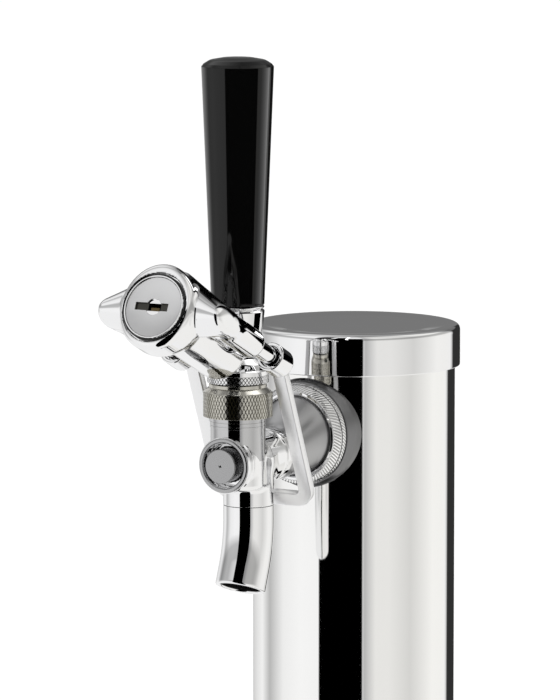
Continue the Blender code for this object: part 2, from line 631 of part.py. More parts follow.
def make_shackle():
    for side_name, x in (("left", -ARM_X), ("right", ARM_X)):
        mid = -(BOLT_FRONT + BOLT_BACK) / 2
        groove = POST_R - 0.0013
        turned(f"shackle_post_{side_name}",
               [(0, -POST_BACK), (POST_R, -POST_BACK), (POST_R, mid - 0.0020), (groove, mid - 0.0016),
                (groove, mid + 0.0016), (POST_R, mid + 0.0020), (POST_R, -POST_FRONT - 0.0003),
                (POST_R - 0.0003, -POST_FRONT), (0, -POST_FRONT)], LOCK, CHROME, SMALL, centre=(x, 0, 0))
        turned(f"shackle_eye_{side_name}",
               [(0, -EYE_BACK), (0.0032, -EYE_BACK), (0.0047, -EYE_BACK + 0.0011),
                (ARM_R, -EYE_BACK + 0.0030), (ARM_R, -EYE_FRONT - 0.0006),
                (ARM_R - 0.0006, -EYE_FRONT), (POST_R + GAP, -EYE_FRONT),
                (POST_R + GAP, -POST_BACK - GAP), (0, -POST_BACK - GAP)],
               LOCK, CHROME, SMALL, centre=(x, 0, 0))
    make_strap()


def make_strap():
    outer = STRAP_OUTER_X
    inner = outer - STRAP_WIDTH
    big = STRAP_CORNER_R
    small = big - STRAP_WIDTH + 0.0010
    outline = [(outer, STRAP_LENGTH)] + arc((outer - big, big), big, 0, -90, 6)
    outline += [(-u, v) for u, v in arc((outer - big, big), big, -90, 0, 6)]
    outline += [(-outer, STRAP_LENGTH), (-inner, STRAP_LENGTH)]
    middle = STRAP_WIDTH + small
    outline += [(-u, v) for u, v in arc((inner - small, middle), small, 0, -90, 5)]
    outline += arc((inner - small, middle), small, -90, 0, 5)
    outline += [(inner, STRAP_LENGTH)]
    strap = plate("shackle_strap", outline, STRAP_THICK, STRAP, CHROME, axis="Y")
    for side_name, x in (("left", -ARM_X), ("right", ARM_X)):
        cut(strap, rod(f"eye_seat_{side_name}", ARM_R + GAP, -EYE_BACK - 0.02, -EYE_FRONT + 0.02, LOCK,
                       None, ROUND, centre=(x, 0, 0)))
        cut(strap, box(f"strap_trim_{side_name}", (x - 0.012, 0.0, -EYE_BACK - 0.03),
                       (x + 0.012, 0.03, -EYE_FRONT + 0.03), LOCK, None))


make_column(make_base())
make_cap()
make_shank()
make_body(make_spout())
make_valve()
make_bonnet()
make_lever()
make_lever_collar()
make_handle()
make_housing()
make_lock_works()
make_shackle()
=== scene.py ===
import json
from math import acos, asin, atan2, cos, hypot, pi, radians, sin, sqrt

import bpy
import numpy as np
from mathutils import Matrix, Vector


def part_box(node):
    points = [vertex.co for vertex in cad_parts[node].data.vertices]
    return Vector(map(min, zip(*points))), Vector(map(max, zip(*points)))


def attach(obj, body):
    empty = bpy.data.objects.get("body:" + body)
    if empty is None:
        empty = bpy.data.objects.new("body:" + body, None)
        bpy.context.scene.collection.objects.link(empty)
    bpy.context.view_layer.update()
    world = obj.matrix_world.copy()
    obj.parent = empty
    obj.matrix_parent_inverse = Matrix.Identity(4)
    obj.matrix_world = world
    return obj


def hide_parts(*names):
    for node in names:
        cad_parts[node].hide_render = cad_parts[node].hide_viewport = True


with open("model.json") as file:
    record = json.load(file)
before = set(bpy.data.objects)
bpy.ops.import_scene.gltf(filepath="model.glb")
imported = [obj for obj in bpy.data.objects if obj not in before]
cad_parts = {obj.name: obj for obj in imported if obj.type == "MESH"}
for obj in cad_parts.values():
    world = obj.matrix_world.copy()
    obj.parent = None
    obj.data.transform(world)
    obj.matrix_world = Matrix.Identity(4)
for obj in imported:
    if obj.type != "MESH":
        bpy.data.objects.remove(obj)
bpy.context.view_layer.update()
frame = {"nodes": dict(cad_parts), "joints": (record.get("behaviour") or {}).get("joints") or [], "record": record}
nodes = frame["nodes"]
joints = {joint["name"]: joint for joint in frame["joints"]}

# Pieces are drawn in millimetres. Heights are above the counter and forward is from the column's axis.
MM = 0.001
ROUND = 128
SHANK_HIGH = 318.4
VALVE_HIGH = 314.0
UPRIGHT_FORWARD = 89.0
SPOUT_FORWARD = 81.2
SPOUT_R = 9.25
SPOUT_BORE_R = 7.4
BALL_R = 8.0
LOCK_FORWARD = 149.2
POST_X = 20.0
STRAP_FORWARD = 67.3
STRAP_HIGH = 296.5

# ---------------------------------------------------------------- places, from the CAD
column_low, column_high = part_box("column_tube")
COLUMN_Y = (column_low.y + column_high.y) / 2
PIVOT = Vector(joints["lever_tilt"]["pos_m"])
LOCK_FACE = Vector(joints["key_turn"]["pos_m"])
LOCK_AXIS = Vector(joints["key_turn"]["axis"]).normalized()
LOCK_TILT = atan2(-LOCK_AXIS.y, LOCK_AXIS.z)
STRAP_TILT = radians(23.5)


def place(y, z, tilt=0.0):
    """A frame in millimetres with its origin at y and z in metres, turned about x."""
    return Matrix.Translation((0, y, z)) @ Matrix.Rotation(tilt, 4, "X") @ Matrix.Scale(MM, 4)


TOWER = place(COLUMN_Y, 0)
SHANK = place(COLUMN_Y, SHANK_HIGH * MM, pi / 2)
VALVE = place(COLUMN_Y, VALVE_HIGH * MM, pi / 2)
LEVER = place(PIVOT.y, PIVOT.z)
LOCK = place(LOCK_FACE.y, LOCK_FACE.z, LOCK_TILT)
STRAP = place(COLUMN_Y - STRAP_FORWARD * MM, STRAP_HIGH * MM, STRAP_TILT)


# ---------------------------------------------------------------- materials
def shader_of(name, **values):
    """A new material, its tree and its shader, with these values on the shader's sockets."""
    made = bpy.data.materials.new(name)
    made.use_nodes = True
    tree = made.node_tree
    shader = tree.nodes["Principled BSDF"]
    for socket, value in values.items():
        shader.inputs[socket.replace("_", " ")].default_value = value
    return made, tree, shader


def node(tree, kind, inputs=(), **settings):
    """A new node whose inputs are links or constants."""
    made = tree.nodes.new(kind)
    for key, value in settings.items():
        setattr(made, key, value)
    for key, value in dict(inputs).items():
        if isinstance(value, bpy.types.NodeSocket):
            tree.links.new(value, made.inputs[key])
        else:
            made.inputs[key].default_value = value
    return made


def ranged(tree, value, low, high):
    """value from 0 to 1, spread over low to high."""
    return node(tree, "ShaderNodeMapRange", {"Value": value, "To Min": low, "To Max": high}).outputs["Result"]


def mixed(tree, share, first, second, **settings):
    """A colour that goes from first to second as share goes from 0 to 1."""
    inputs = {"Factor": share, "A": first, "B": second}
    return node(tree, "ShaderNodeMix", inputs, data_type="RGBA", **settings).outputs[2]


def bumped(tree, shader, height, distance):
    """Lets a height from 0 to 1 lift the surface by distance, in metres."""
    lift = node(tree, "ShaderNodeBump", {"Height": height, "Strength": 1.0, "Distance": distance})
    tree.links.new(lift.outputs["Normal"], shader.inputs["Normal"])


def metal(name, color, rough, spread=0.02, bump=0.0, scale=60.0, warm=None):
    """Polished or satin metal: slight cloudiness in the gloss, and a very shallow waviness."""
    made, tree, shader = shader_of(name, Metallic=1.0, Roughness=rough, Base_Color=(*color, 1))
    where = node(tree, "ShaderNodeTexCoord").outputs["Object"]
    cloud = node(tree, "ShaderNodeTexNoise", {"Vector": where, "Scale": scale, "Detail": 4.0}).outputs["Fac"]
    tree.links.new(ranged(tree, cloud, rough - spread, rough + spread), shader.inputs["Roughness"])
    tint = mixed(tree, cloud, (*[c * 0.96 for c in color], 1), (*(warm or color), 1))
    tree.links.new(tint, shader.inputs["Base Color"])
    if bump:
        wave = node(tree, "ShaderNodeTexNoise", {"Vector": where, "Scale": scale * 2.5, "Detail": 1.0})
        bumped(tree, shader, wave.outputs["Fac"], bump)
    return made


def ringed(name, color, rough, pitch, depth):
    """Turned metal: fine rings along a lathe's profile, which its UV map's second number measures."""
    made, tree, shader = shader_of(name, Metallic=1.0, Roughness=rough, Base_Color=(*color, 1))
    uv = node(tree, "ShaderNodeUVMap").outputs["UV"]
    split = node(tree, "ShaderNodeSeparateXYZ", {"Vector": uv})
    along = node(tree, "ShaderNodeCombineXYZ", {"Y": split.outputs["Y"]}).outputs["Vector"]
    rings = node(tree, "ShaderNodeTexNoise", {"Vector": along, "Scale": 1 / pitch, "Detail": 3.0})
    height = rings.outputs["Fac"]
    tree.links.new(ranged(tree, height, rough * 0.7, rough * 1.3), shader.inputs["Roughness"])
    bumped(tree, shader, height, depth)
    return made


def plastic(name, color, rough, bump=0.00002, scale=900.0, vary=0.15, specular=0.5):
    """Anything that isn't metal, with a fine grain in its colour, gloss and surface."""
    made, tree, shader = shader_of(name, Roughness=rough, Base_Color=(*color, 1), Specular_IOR_Level=specular)
    where = node(tree, "ShaderNodeTexCoord").outputs["Object"]
    grain = node(tree, "ShaderNodeTexNoise", {"Vector": where, "Scale": scale, "Detail": 3.0}).outputs["Fac"]
    tree.links.new(ranged(tree, grain, rough * 0.8, rough * 1.2), shader.inputs["Roughness"])
    tint = mixed(tree, grain, (*[c * (1 - vary) for c in color], 1), (*[c * (1 + vary) for c in color], 1))
    tree.links.new(tint, shader.inputs["Base Color"])
    bumped(tree, shader, grain, bump)
    return made


CHROME = metal("chrome", (0.93, 0.93, 0.935), 0.035, 0.012)
STEEL = metal("polished_steel", (0.96, 0.958, 0.95), 0.045, 0.015, bump=0.000004, scale=18.0)
BRUSHED = metal("brushed_chrome", (0.95, 0.95, 0.955), 0.30, 0.05, scale=250.0)
SATIN = metal("satin_nickel", (0.40, 0.40, 0.405), 0.34, 0.05, scale=400.0)
SADDLE = metal("saddle_nickel", (0.24, 0.24, 0.245), 0.34, 0.05, scale=400.0)
# Painted shade: a darker, duller copy of the chrome for the casting's neck, between the barrel and the shank.
NECK_SHADE = metal("neck_shade_grey", (0.47, 0.47, 0.475), 0.30, 0.05, scale=400.0)
NICKEL = metal("warm_nickel", (0.56, 0.545, 0.49), 0.16, 0.04, scale=300.0, warm=(0.62, 0.60, 0.545))
# Painted shade: a darker copy of the warm nickel for the grooves of the bonnet's knurl.
NICKEL_GROOVE_SHADE = metal("nickel_groove_shade", (0.36, 0.345, 0.285), 0.24, 0.05, scale=300.0)
# Painted shade: near-black metal for the walls and floor of the keyhole's shallow slot.
SLOT_SHADE = metal("slot_shade_floor", (0.07, 0.068, 0.06), 0.30, 0.05, scale=300.0)
# Painted shade: a darker copy of the chrome for the casting's upright and its grooved top, under the bonnet.
UPRIGHT_SHADE = metal("upright_shade_grey", (0.58, 0.58, 0.585), 0.07, 0.02)
KNURL = metal("knurled_chrome", (0.90, 0.90, 0.905), 0.12, 0.04, scale=300.0)
# Painted shade: a darker copy of the knurled chrome for the grooves of the collar's knurl.
KNURL_GROOVE_SHADE = metal("chrome_groove_shade", (0.36, 0.36, 0.36), 0.24, 0.05, scale=300.0)
NUT_KNURL = metal("nut_chrome", (0.97, 0.97, 0.97), 0.18, 0.04, scale=300.0)
# Painted shade: a darker copy of the nut's chrome for the grooves of its two knurled bands.
NUT_GROOVE_SHADE = metal("nut_groove_shade", (0.48, 0.48, 0.48), 0.26, 0.05, scale=300.0)
BRASS = metal("brass", (0.72, 0.55, 0.28), 0.28, 0.06, scale=200.0)
# Painted shade: a much darker copy of the brass for the shutter deep in the keyway.
SHADED_BRASS = metal("shaded_brass", (0.16, 0.12, 0.06), 0.45, 0.06, scale=200.0)
FACE = ringed("turned_face", (0.42, 0.42, 0.425), 0.26, 0.00035, 0.000020)
BOSS_SATIN = ringed("turned_ring", (0.46, 0.46, 0.465), 0.26, 0.0003, 0.000012)
LOCK_SATIN = metal("lock_satin", (0.80, 0.80, 0.805), 0.36, 0.03, scale=500.0)
BLACK = plastic("gloss_black", (0.002, 0.002, 0.002), 0.06, 0.000001, 60.0, specular=0.32)
# Painted shade: near-black, standing in for the shade in the spout's bore, the shaft's centre hole, the keyway and
# the groove round the lock's bezel.
SHADE_BLACK = plastic("painted_shade_black", (0.004, 0.004, 0.004), 0.35, 0.0, 60.0)
RUBBER = plastic("rubber", (0.025, 0.025, 0.026), 0.7)
FOAM = plastic("foam", (0.06, 0.06, 0.065), 0.95, 0.0003, 500.0)
NYLON = plastic("nylon", (0.72, 0.71, 0.66), 0.45)

CAD_FINISH = {"chrome": CHROME, "stainless": STEEL, "satin_nickel": SATIN, "knurled_nickel": NICKEL,
              "brass": BRASS, "black_plastic": BLACK, "rubber": RUBBER, "foam": FOAM, "nylon": NYLON}
SLOT_OF = {part["node"]: part["material_slot"] for part in frame["record"]["subparts"]}


# ---------------------------------------------------------------- turned pieces
def softened(points, fillet):
    """(radius, height, normal) along a profile. Its corners are rounded by fillet, or by a point's own
    third number where it has one."""
    spots = [Vector(point[:2]) for point in points]
    radii = [point[2] if len(point) > 2 else fillet for point in points]
    out = []
    last = len(spots) - 1
    for i, spot in enumerate(spots):
        if i == 0 or i == last:
            way = (spots[1] - spot if i == 0 else spot - spots[i - 1]).normalized()
            out.append((spot.x, spot.y, Vector((way.y, -way.x))))
            continue
        before = spots[i - 1] - spot
        after = spots[i + 1] - spot
        turn = before.angle(after)
        straight = turn > pi - 0.02
        if straight:
            way = (after.normalized() - before.normalized()).normalized()
            out.append((spot.x, spot.y, Vector((way.y, -way.x))))
            continue
        room = 0.48 * min(before.length, after.length)
        reach = min(radii[i] / max(0.05, abs(sin(turn / 2) / cos(turn / 2))), room)
        start = spot + before.normalized() * reach
        end = spot + after.normalized() * reach
        way_in = -before.normalized()
        way_out = after.normalized()
        steps = max(3, int((pi - turn) / radians(11)))
        for k in range(steps + 1):
            t = k / steps
            point = start * (1 - t) ** 2 + spot * 2 * t * (1 - t) + end * t * t
            way = (way_in * (1 - t) + way_out * t).normalized()
            out.append((point.x, point.y, Vector((way.y, -way.x))))
    return out


def finish_piece(made, material, body, replaced):
    """Gives a piece its materials, the body it rides on and the CAD nodes it stands in for."""
    for each in material if isinstance(material, tuple) else (material,):
        made.data.materials.append(each)
    bpy.context.scene.collection.objects.link(made)
    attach(made, body)
    if replaced:
        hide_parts(*replaced)
    return made


def mesh_of(name, points, faces, normals=None, uvs=None, smooth=True):
    """A mesh with its own normals and UV map, where they are given."""
    mesh = bpy.data.meshes.new(name)
    mesh.from_pydata([tuple(p) for p in points], [], faces)
    if smooth:
        mesh.shade_smooth()
    if uvs is not None:
        layer = mesh.uv_layers.new(name="UVMap")
        layer.data.foreach_set("uv", np.asarray(uvs, np.float32).ravel())
    if normals is not None:
        mesh.normals_split_custom_set_from_vertices([tuple(n) for n in normals])
    return mesh


def lathe(name, profile, where, material, body, replaced=(), fillet=0.15, sides=ROUND, reshape=None):
    """A smooth turned piece. Its profile of (radius, height) keeps the outside on the right."""
    line = softened(profile, fillet)
    points, normals, rings, lengths = [], [], [], []
    run = 0.0
    for i, (radius, height, normal) in enumerate(line):
        if i:
            run += hypot(radius - line[i - 1][0], height - line[i - 1][1])
        lengths.append(run * MM)
        pole = radius < 1e-6
        ring = []
        for k in range(1 if pole else sides):
            a = 2 * pi * k / sides
            ring.append(len(points))
            points.append(Vector((radius * cos(a), radius * sin(a), height)))
            flat = 0 if pole else normal.x
            normals.append(Vector((flat * cos(a), flat * sin(a), normal.y)).normalized())
        rings.append(ring)
    faces, uvs = [], []
    for i in range(len(rings) - 1):
        low, high = rings[i], rings[i + 1]
        if len(low) == 1 and len(high) == 1:
            continue
        width = 2 * pi * max(line[i][0], line[i + 1][0]) * MM
        for k in range(sides):
            u0, u1 = width * k / sides, width * (k + 1) / sides
            j = (k + 1) % sides
            if len(low) == 1:
                faces.append((low[0], high[j], high[k]))
                uvs += [(u0, lengths[i]), (u1, lengths[i + 1]), (u0, lengths[i + 1])]
            elif len(high) == 1:
                faces.append((low[k], low[j], high[0]))
                uvs += [(u0, lengths[i]), (u1, lengths[i]), (u0, lengths[i + 1])]
            else:
                faces.append((low[k], low[j], high[j], high[k]))
                uvs += [(u0, lengths[i]), (u1, lengths[i]), (u1, lengths[i + 1]), (u0, lengths[i + 1])]
    if reshape:
        points = [reshape(*point) for point in points]
    return placed(name, points, faces, where, material, body, replaced, normals, uvs)


def placed(name, points, faces, where, material, body, replaced=(), normals=None, uvs=None, smooth=True,
           second=()):
    """A mesh from local points. Faces in second take the second material."""
    spin = where.to_3x3().normalized()
    points = [where @ Vector(p) for p in points]
    if normals is not None:
        normals = [spin @ Vector(n) for n in normals]
    made = bpy.data.objects.new(name, mesh_of(name, points, faces, normals, uvs, smooth))
    for i in second:
        made.data.polygons[i].material_index = 1
    return finish_piece(made, material, body, replaced)


def moved(where, x=0.0, y=0.0, z=0.0):
    """A local frame shifted by millimetres."""
    return where @ Matrix.Translation((x, y, z))


# ---------------------------------------------------------------- knurls
def diamonds(name, radius, low, high, around, rows, depth, where, material, body, flat=0.78):
    """A diamond knurl: small flat-topped pyramids between two sets of crossing grooves. The groove faces take the
    second material, a darker copy that paints in the shade of the grooves.
    """
    half_w = pi / around
    half_h = (high - low) / rows
    points, faces, shaded_grooves = [], [], []

    def at(i, j, r):
        a = half_w * i
        points.append((r * cos(a), r * sin(a), low + half_h * j))
        return len(points) - 1

    valley = {}
    for j in range(rows + 1):
        for i in range(2 * around):
            if (i + j) % 2:
                valley[i, j] = at(i, j, radius - depth)
    for j in range(rows + 1):
        for i in range(2 * around):
            if (i + j) % 2:
                continue
            corners = [(i + 1, j), (i, j + 1), (i - 1, j), (i, j - 1)]
            if j == 0:
                corners = [(i + 1, j), (i, j + 1), (i - 1, j)]
            if j == rows:
                corners = [(i + 1, j), (i - 1, j), (i, j - 1)]
            outer = [valley[u % (2 * around), v] for u, v in corners]
            inner = [at(i + flat * (u - i), j + flat * (v - j), radius) for u, v in corners]
            faces.append(tuple(inner))
            count = len(corners)
            for k in range(count):
                n = (k + 1) % count
                shaded_grooves.append(len(faces))
                faces.append((outer[k], outer[n], inner[n], inner[k]))
    return placed(name, points, faces, where, material, body, smooth=False, second=shaded_grooves)


def diagonal(name, radii, low, high, around, depth, lead, where, material, body):
    """A fine slanting knurl on a cone: ridges that lean round the piece by lead radians over its height. Its
    groove faces take the second material, a darker copy that paints in the shade of the grooves.
    """
    rows = 6
    points, faces, shaded_grooves = [], [], []
    count = 4 * around
    for j in range(rows + 1):
        height = low + (high - low) * j / rows
        edge = min(1.0, 3.0 * min(j, rows - j) / rows + 0.25)
        for i in range(count):
            a = 2 * pi * i / count + lead * j / rows
            r = radii[0] + (radii[1] - radii[0]) * j / rows
            r -= depth * (0, 0.25, 1, 0.25)[i % 4] + depth * (1 - edge)
            points.append((r * cos(a), r * sin(a), height))
    for j in range(rows):
        for i in range(count):
            n = (i + 1) % count
            if i % 4 in (1, 2):
                shaded_grooves.append(len(faces))
            faces.append((j * count + i, j * count + n, (j + 1) * count + n, (j + 1) * count + i))
    return placed(name, points, faces, where, material, body, smooth=False, second=shaded_grooves)


# ---------------------------------------------------------------- blended castings
def blend_in(a, b, k):
    """Union of two distance fields with a fillet of about k."""
    h = np.clip(0.5 + 0.5 * (b - a) / k, 0, 1)
    return b + (a - b) * h - k * h * (1 - h)


def carve(a, b, k):
    """The part that two distance fields share, with an edge rounded by about k."""
    return -blend_in(-a, b, k)


def tube_field(x, y, z, radius, low, high, k=0.0):
    """Distance to a cylinder along z whose rims are rounded by k."""
    dx = np.hypot(x, y) - radius + k
    dz = np.abs(z - (low + high) / 2) - (high - low) / 2 + k
    return np.minimum(np.maximum(dx, dz), 0) + np.hypot(np.maximum(dx, 0), np.maximum(dz, 0)) - k


def casting(name, field, low, high, step, where, material, body, replaced=(), material_of=None):
    """The surface where field is 0, found on a grid from low to high. Points and normals come from the
    field itself. material_of, if given, picks each face's material from the middle of the face."""
    axes = [np.arange(a, b + step, step) for a, b in zip(low, high)]
    values = field(*np.meshgrid(*axes, indexing="ij"))
    inside = values < 0
    cells = tuple(n - 1 for n in inside.shape)
    count = np.zeros(cells, np.int8)
    for i in (0, 1):
        for j in (0, 1):
            for k in (0, 1):
                count += inside[i:i + cells[0], j:j + cells[1], k:k + cells[2]]
    crossed = (count > 0) & (count < 8)
    index = -np.ones(cells, np.int64)
    index[crossed] = np.arange(crossed.sum())
    spots = np.argwhere(crossed)
    points = np.array(low) + (spots + 0.5) * step
    quads = []
    for axis in range(3):
        one, two = [a for a in range(3) if a != axis]
        shift = [slice(1, -1)] * 3
        first, second = list(shift), list(shift)
        first[axis], second[axis] = slice(0, -1), slice(1, None)
        start, end = inside[tuple(first)], inside[tuple(second)]
        at = np.argwhere(start != end)
        rising = start[start != end]
        base = at.copy()
        base[:, one] += 1
        base[:, two] += 1
        corners = []
        for du, dv in ((0, 0), (1, 0), (1, 1), (0, 1)):
            cell = base.copy()
            cell[:, one] -= du
            cell[:, two] -= dv
            corners.append(index[cell[:, 0], cell[:, 1], cell[:, 2]])
        quad = np.stack(corners, 1)
        flip = rising if axis != 1 else ~rising
        quad[~flip] = quad[~flip][:, ::-1]
        quads.append(quad)
    quads = np.concatenate(quads)

    def gradient(p, e=0.02):
        """The field's slope at each point."""
        parts = []
        for axis in range(3):
            push = np.zeros(3)
            push[axis] = e
            parts.append(field(*(p + push).T) - field(*(p - push).T))
        return np.stack(parts, 1) / (2 * e)

    def project(p, times):
        """Points moved along the slope on to the surface, by at most one grid step at a time."""
        for _ in range(times):
            slope = gradient(p)
            size = np.maximum((slope ** 2).sum(1), 0.05)
            move = slope * (field(*p.T) / size)[:, None]
            length = np.linalg.norm(move, axis=1, keepdims=True)
            p = p - move * np.minimum(1, step / np.maximum(length, 1e-9))
        return p

    points = project(points, 4)
    edges = np.concatenate([quads[:, [0, 1]], quads[:, [1, 2]], quads[:, [2, 3]], quads[:, [3, 0]]])
    for _ in range(3):
        # Evens out the mesh: each point goes towards the middle of its neighbours and back to the surface.
        total = np.zeros_like(points)
        share = np.zeros(len(points))
        for a, b in ((0, 1), (1, 0)):
            np.add.at(total, edges[:, a], points[edges[:, b]])
            np.add.at(share, edges[:, a], 1)
        points = project(0.4 * points + 0.6 * total / share[:, None], 3)
    normals = gradient(points, 0.05)
    normals /= np.maximum(np.linalg.norm(normals, axis=1, keepdims=True), 1e-9)
    faces = [tuple(int(v) for v in quad) for quad in quads]
    made = placed(name, points, faces, where, material, body, replaced, normals)
    if material_of:
        kinds = material_of(*points[quads].mean(1).T).astype(np.int32)
        made.data.polygons.foreach_set("material_index", kinds)
    return made


# ---------------------------------------------------------------- the pieces
def column():
    """The plain tube and the cap over its top."""
    lathe("column_skin", [(36.6, 5.1), (38.1, 5.1), (38.1, 352.0), (36.6, 352.0), (36.6, 5.1)], TOWER, STEEL,
          "tower_body", ["column_tube"], fillet=0.3, sides=192)
    lathe("cap_shell", [(0, 354.0), (38.4, 352.6), (38.4, 340.0), (40.0, 340.0, 0.5), (40.0, 355.5, 3.2),
                        (35.0, 355.5, 4.0), (29.0, 354.9, 12.0), (0, 354.6)], TOWER, CHROME, "cap",
          ["tower_cap"], fillet=0.3, sides=192)


def base():
    """The flange on the counter, with four countersunk screw holes."""
    flange = lathe("base_ring", [(30.0, 2.3), (54.5, 2.3, 0.8), (54.5, 5.8, 1.0), (43.4, 5.8, 1.2),
                                 (41.8, 7.0, 0.8), (41.8, 15.3, 1.2), (38.4, 15.3, 0.4), (38.4, 4.8),
                                 (30.0, 4.8), (30.0, 2.3)], TOWER, CHROME, "tower_body",
                   ["base_flange"], fillet=0.3, sides=160)
    circle_r, hole_r, head_r = 48.3, 2.4, 4.6
    hole = [(0, 1.0), (hole_r, 1.0), (hole_r, 3.6), (head_r, 5.9), (head_r, 7.0), (0, 7.0)]
    for i in range(4):
        a = pi / 4 + pi / 2 * i
        here = moved(TOWER, circle_r * cos(a), circle_r * sin(a))
        cutter = lathe(f"cutter_{i}", hole, here, CHROME, "tower_body", fillet=0.05, sides=40)
        drill = flange.modifiers.new("drill", "BOOLEAN")
        drill.object = cutter
        drill.solver = "EXACT"
        drilled = flange.evaluated_get(bpy.context.evaluated_depsgraph_get())
        cut = bpy.data.meshes.new_from_object(drilled)
        flange.modifiers.clear()
        flange.data = cut
        bpy.data.objects.remove(cutter)


def shank():
    """The satin saddle on the column and the coupling nut with its two knurled bands."""
    tube_r, widest = 38.15, 37.0

    def hug_column(x, y, z):
        return x, y, max(z, sqrt(tube_r ** 2 - min(abs(x), widest) ** 2))

    lathe("saddle", [(11.4, 26.0), (20.5, 26.0), (20.1, 36.0, 3.0), (19.1, 40.6, 0.8), (16.8, 40.6),
                     (16.8, 39.7), (11.4, 39.7), (11.4, 26.0)], SHANK, SADDLE,
          "tower_body", ["shank_saddle"], fillet=0.3, reshape=hug_column)
    lathe("coupling_ring", [(16.7, 40.9), (18.4, 40.9), (18.4, 43.7, 0.1), (16.5, 47.1, 0.2),
                            (15.4, 47.2, 0.3), (15.4, 46.3), (16.7, 46.3), (16.7, 40.9)], SHANK, CHROME,
          "tower_body", ["coupling_nut"], fillet=0.1)
    # The knurls' grooves are painted in shade with a darker copy of the chrome.
    bands = (("knurl_back", 40.8, 43.6, (18.9, 18.9)), ("knurl_front", 44.0, 46.9, (18.6, 16.9)))
    for name, low, high, radii in bands:
        diagonal(name, radii, low, high, 96, 0.22, 0.10, SHANK, (NUT_KNURL, NUT_GROOVE_SHADE),
                 "tower_body")


def spout_rings():
    """Place forward, height, lean and radius of the rings that make the spout, outside then inside."""
    lean = radians(22)
    bend = 47.0
    top, bend_top = 297.4, 292.0
    line = [(0.0, top - 0.9 * i, 0.0) for i in range(7)]
    line += [(bend * (1 - cos(lean * i / 32)), bend_top - bend * sin(lean * i / 32), lean * i / 32)
             for i in range(33)]
    end = line[-1]
    step = 0.47
    line += [(end[0] + step * i * sin(lean), end[1] - step * i * cos(lean), lean) for i in range(1, 16)]
    yield 0.0, top, 0.0, 8.2
    for forward, z, turn in line:
        yield forward, z, turn, SPOUT_R
    tip = line[-1]
    rim = (SPOUT_R - SPOUT_BORE_R) / 2
    for i in range(1, 10):
        a = pi * i / 10
        past = 0.7 * sin(a)
        yield tip[0] + past * sin(lean), tip[1] - past * cos(lean), lean, SPOUT_R - rim + rim * cos(a)
    for forward, z, turn in line[:0:-1]:
        yield forward, z, turn, SPOUT_BORE_R


def spout():
    """The bent tube, with painted shade on the inside of its bore."""
    sides = 96
    where = place(COLUMN_Y - SPOUT_FORWARD * MM, 0)
    points, faces, inside = [], [], []
    rings = list(spout_rings())
    for forward, z, turn, radius in rings:
        for k in range(sides):
            a = 2 * pi * k / sides
            u, v = radius * cos(a), radius * sin(a)
            points.append((u, -forward - v * cos(turn), z + v * sin(turn)))
    for i in range(len(rings) - 1):
        for k in range(sides):
            j = (k + 1) % sides
            if rings[i][3] == rings[i + 1][3] == SPOUT_BORE_R:
                inside.append(len(faces))
            faces.append((i * sides + k, i * sides + j, (i + 1) * sides + j, (i + 1) * sides + k))
    made = placed("spout_tube", points, faces, where, (CHROME, SHADE_BLACK), "tower_body", ["spout"],
                  second=inside)
    made.data.set_sharp_from_angle(angle=radians(50))


def body_field(x, y, z):
    """The faucet's casting: barrel, front boss, neck that widens to the shank, upright and spout skirt."""
    forward = -y
    rise = z - VALVE_HIGH
    upright = tube_field(x, forward - UPRIGHT_FORWARD, z, 10.0, 304.3, 334.3, 2.2)
    barrel = tube_field(x, rise, forward, 9.3, 60.0, 93.0, 0.3)
    boss = tube_field(x, rise, forward, 9.55, 80.0, 96.0, 0.2)
    share = np.clip((64.0 - forward) / 18.2, 0, 1)
    centre = 4.4 * share * share * (3 - 2 * share)
    neck = 0.93 * (np.hypot(x, rise - centre) - (9.3 + 5.8 * share ** 1.35))
    neck = np.maximum(neck, np.maximum(forward - 68.0, 45.8 - forward))
    flange = tube_field(x, z - SHANK_HIGH, forward, 16.2, 45.3, 46.1, 0.1)
    low = np.clip((z - 297.5) / 8.5, 0, 1)
    skirt = np.hypot(x, forward - SPOUT_FORWARD) - (SPOUT_R + 0.1 * low)
    skirt = np.maximum(skirt, np.abs(z - 306.2) - 8.75)
    body = blend_in(blend_in(barrel, neck, 2.0), upright, 1.6)
    body = blend_in(body, skirt, 2.0)
    body = blend_in(body, boss, 0.9)
    body = np.minimum(body, flange)
    guide = tube_field(x, rise, forward, 6.45, 64.0, 99.0)
    mouth = tube_field(x, rise, forward, 7.9, 95.0, 101.0)
    chamber = tube_field(x, rise, forward, 7.6, 48.5, 62.0)
    rod = tube_field(x, rise, forward, 4.6, 61.0, 65.0)
    cup = tube_field(x, forward - UPRIGHT_FORWARD, z, 8.7, 328.5, 340.0)
    well = tube_field(x, forward - UPRIGHT_FORWARD, z, 5.8, 325.8, 340.0)
    slot = np.maximum(np.abs(x) - 2.7, np.maximum(forward - 91.8, np.maximum(318.0 - z, z - 329.0)))
    slot = np.maximum(slot, 0.84 * (83.6 - (329.0 - z) * 0.636 - forward))
    hollow = np.minimum.reduce([guide, mouth, chamber, rod, cup, well, slot])
    return np.maximum(body, -hollow)


